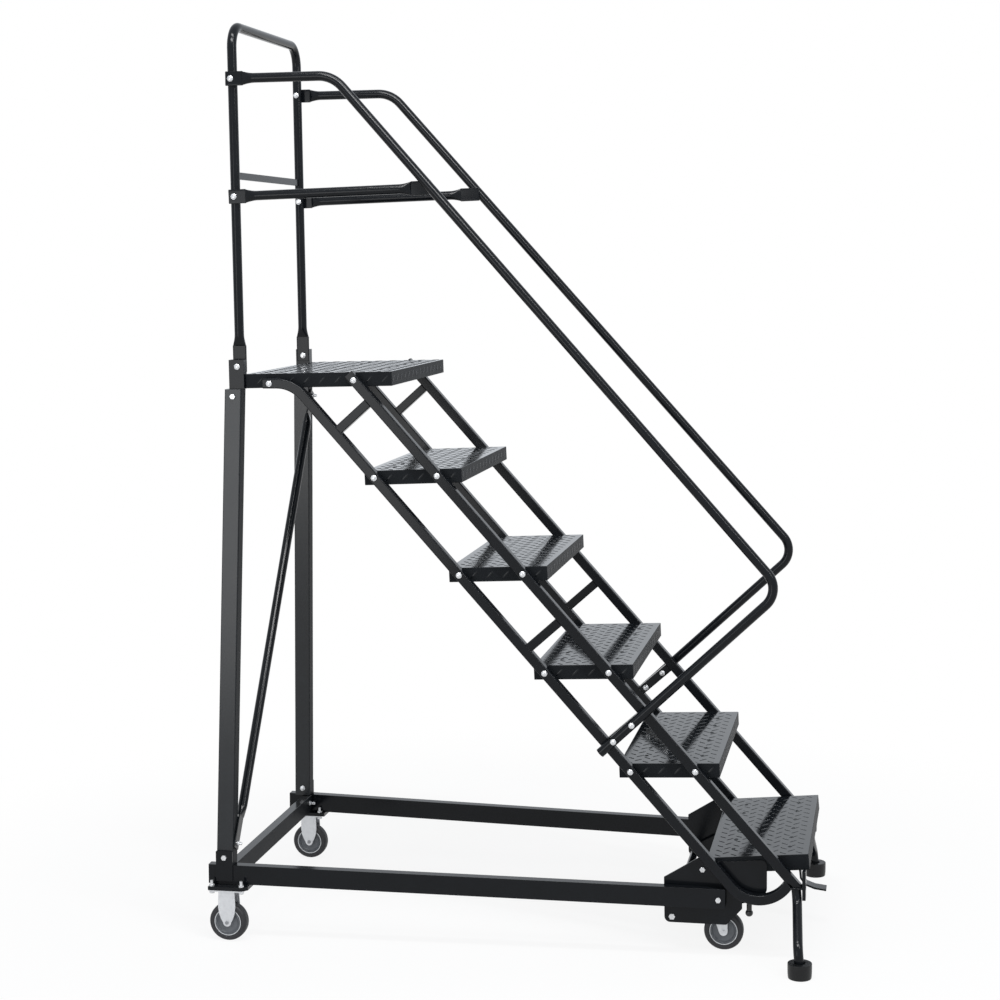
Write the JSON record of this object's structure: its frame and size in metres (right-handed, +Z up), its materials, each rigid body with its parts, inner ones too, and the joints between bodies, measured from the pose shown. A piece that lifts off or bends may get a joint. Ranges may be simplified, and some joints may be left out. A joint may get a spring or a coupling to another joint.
{
  "type": "library ladder",
  "caption": "Rolling platform ladder with pattern-plate steps, a guarded deck, handrails, swivel and fixed casters and a step-down lock that lets its rubber feet take the floor",
  "frame": {"origin": "bottom centre of the overall box, on the floor", "axes": "+X is the foot of the stair, where a climber steps on; -Y is the climber's left; +Z is up"},
  "size_m": [1.6342, 0.94, 2.44],
  "materials": {
    "pattern_plate": "semi-gloss black powder coat on embossed non-slip plate",
    "black_tube": "semi-gloss black powder coat on steel tube and plate",
    "tyre": "satin black solid tyre",
    "hub": "grey moulded wheel core",
    "foot_rubber": "matt black moulded rubber",
    "zinc_fork": "bright zinc-plated pressed steel",
    "zinc_steel": "bright zinc-plated fasteners, shaft and axles",
    "knob": "black moulded ball"
  },
  "bodies": {
    "frame": {"deck": "pattern_plate", "tread_2": "pattern_plate", "tread_3": "pattern_plate", "tread_4": "pattern_plate", "tread_5": "pattern_plate", "front_stringer_left": "black_tube", "front_stringer_right": "black_tube", "rear_stringer_left": "black_tube", "rear_stringer_right": "black_tube", "link_bars": "black_tube", "guard_hoop": "black_tube", "hoop_cross_bar": "black_tube", "handrail_left": "black_tube", "handrail_right": "black_tube", "mid_rail_left": "black_tube", "mid_rail_right": "black_tube", "corner_posts": "black_tube", "rear_leg_left": "black_tube", "rear_leg_right": "black_tube", "leg_tabs": "black_tube", "diagonal_brace": "black_tube", "base_rail_left": "black_tube", "base_rail_right": "black_tube", "base_cross_rail": "black_tube", "side_plate_left": "black_tube", "side_plate_right": "black_tube", "carriage_shaft": "zinc_steel", "caster_pads": "black_tube", "rear_forks": "zinc_fork", "rear_axles": "zinc_steel", "foot_brackets": "black_tube", "foot_tube_left": "black_tube", "foot_tube_right": "black_tube", "rubber_foot_left": "foot_rubber", "rubber_foot_right": "foot_rubber", "stringer_bolts": "zinc_steel", "guard_bolts": "zinc_steel", "frame_bolts": "zinc_steel", "caster_bolts": "zinc_steel"},
    "lock_step": {"lock_tread": "pattern_plate", "lock_wings": "black_tube", "pedal_bracket": "black_tube"},
    "pedal": {"release_pedal": "black_tube"},
    "carriage": {"carriage_sleeve": "black_tube", "carriage_arms": "black_tube", "swivel_plates": "black_tube", "ball_knob": "knob"},
    "front_fork_left": {"front_fork_left": "zinc_fork"},
    "front_wheel_left": {"front_hub_left": "hub", "front_tyre_left": "tyre"},
    "rear_wheel_left": {"rear_hub_left": "hub", "rear_tyre_left": "tyre"},
    "front_fork_right": {"front_fork_right": "zinc_fork"},
    "front_wheel_right": {"front_hub_right": "hub", "front_tyre_right": "tyre"},
    "rear_wheel_right": {"rear_hub_right": "hub", "rear_tyre_right": "tyre"}
  },
  "joints": [
    {"name": "lock_hinge", "type": "hinge", "parent": "frame", "child": "lock_step", "pos_m": [0.508, 0, 0.23], "axis": [0, 1, 0], "range_deg": [-2.5, 3]},
    {"name": "carriage_hinge", "type": "hinge", "parent": "frame", "child": "carriage", "pos_m": [0.428, 0, 0.1], "axis": [0, 1, 0], "range_deg": [-1.95, 1.63]},
    {"name": "pedal_hinge", "type": "hinge", "parent": "lock_step", "child": "pedal", "pos_m": [0.7385, 0, 0.221], "axis": [0, 1, 0], "range_deg": [0, 15], "stiffness_Nm_per_rad": 2, "springref_deg": -11.46},
    {"name": "front_swivel_left", "type": "hinge", "parent": "carriage", "child": "front_fork_left", "pos_m": [0.553, -0.249, 0.135], "axis": [0, 0, 1], "continuous": true},
    {"name": "front_spin_left", "type": "hinge", "parent": "front_fork_left", "child": "front_wheel_left", "pos_m": [0.559, -0.249, 0.0526], "axis": [0, 1, 0], "continuous": true},
    {"name": "rear_spin_left", "type": "hinge", "parent": "frame", "child": "rear_wheel_left", "pos_m": [-0.7605, -0.386, 0.052], "axis": [0, 1, 0], "continuous": true},
    {"name": "front_swivel_right", "type": "hinge", "parent": "carriage", "child": "front_fork_right", "pos_m": [0.553, 0.249, 0.135], "axis": [0, 0, 1], "continuous": true},
    {"name": "front_spin_right", "type": "hinge", "parent": "front_fork_right", "child": "front_wheel_right", "pos_m": [0.559, 0.249, 0.0526], "axis": [0, 1, 0], "continuous": true},
    {"name": "rear_spin_right", "type": "hinge", "parent": "frame", "child": "rear_wheel_right", "pos_m": [-0.7605, 0.386, 0.052], "axis": [0, 1, 0], "continuous": true}
  ],
  "couplings": [
    {"joint": "carriage_hinge", "follows": "lock_hinge", "ratio": -0.65}
  ]
}
